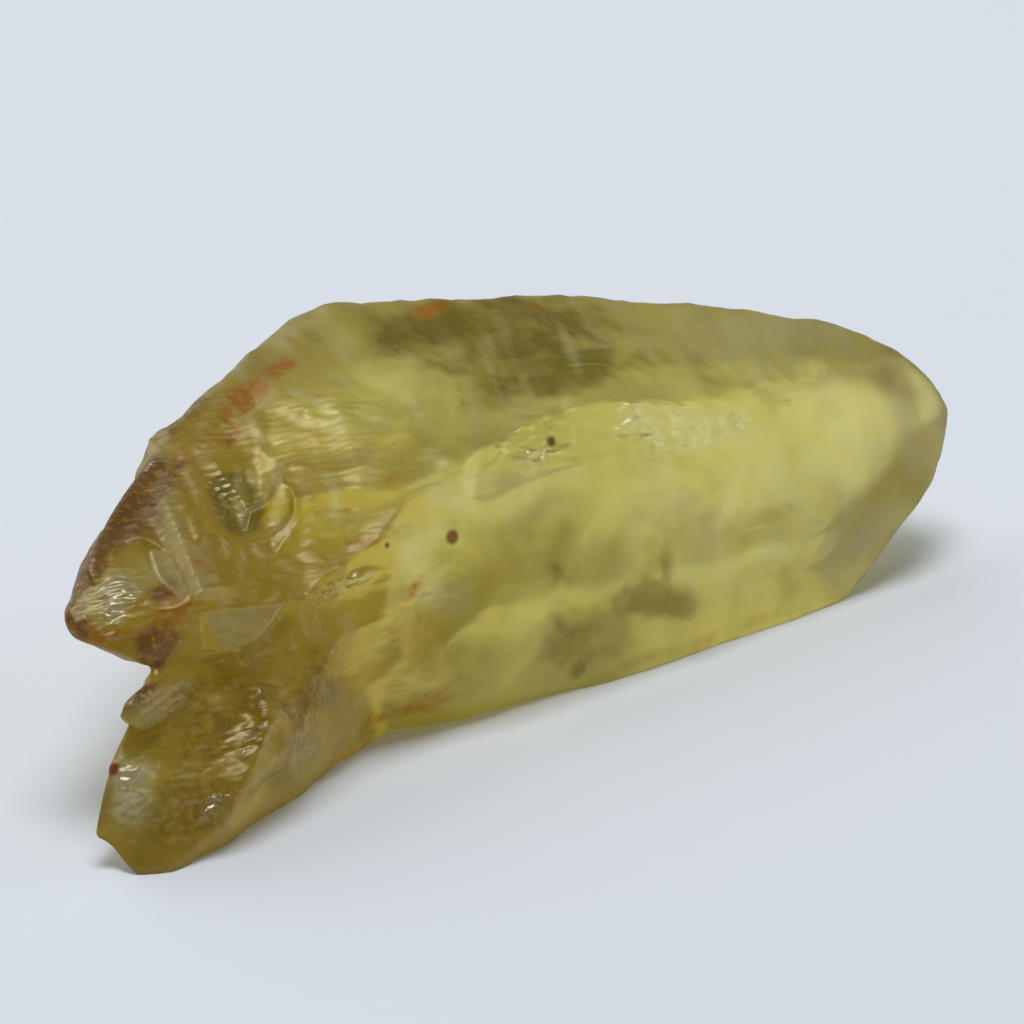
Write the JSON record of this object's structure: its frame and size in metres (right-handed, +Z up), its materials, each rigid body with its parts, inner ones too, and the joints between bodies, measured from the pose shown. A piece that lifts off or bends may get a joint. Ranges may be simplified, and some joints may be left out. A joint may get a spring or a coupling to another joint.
{
  "type": "rough lemon topaz",
  "caption": "Long rough yellow crystal with flat faces, chipped ends, a notched spur and a leg, resting on a flat underside.",
  "frame": {"origin": "centre of the bounding box's bottom, on the surface that the stone rests on", "axes": "+X along the long axis towards the rounded end, +Z up; the leg and spur are at the -X end, the leg towards -Y"},
  "size_m": [0.0615, 0.0251, 0.0178],
  "materials": {
    "lemon_crystal": "see-through yellow-green crystal with a worn, faintly frosted skin, cloudy veils and rust stains"
  },
  "bodies": {
    "root": {"topaz_crystal": "lemon_crystal"}
  },
  "joints": []
}
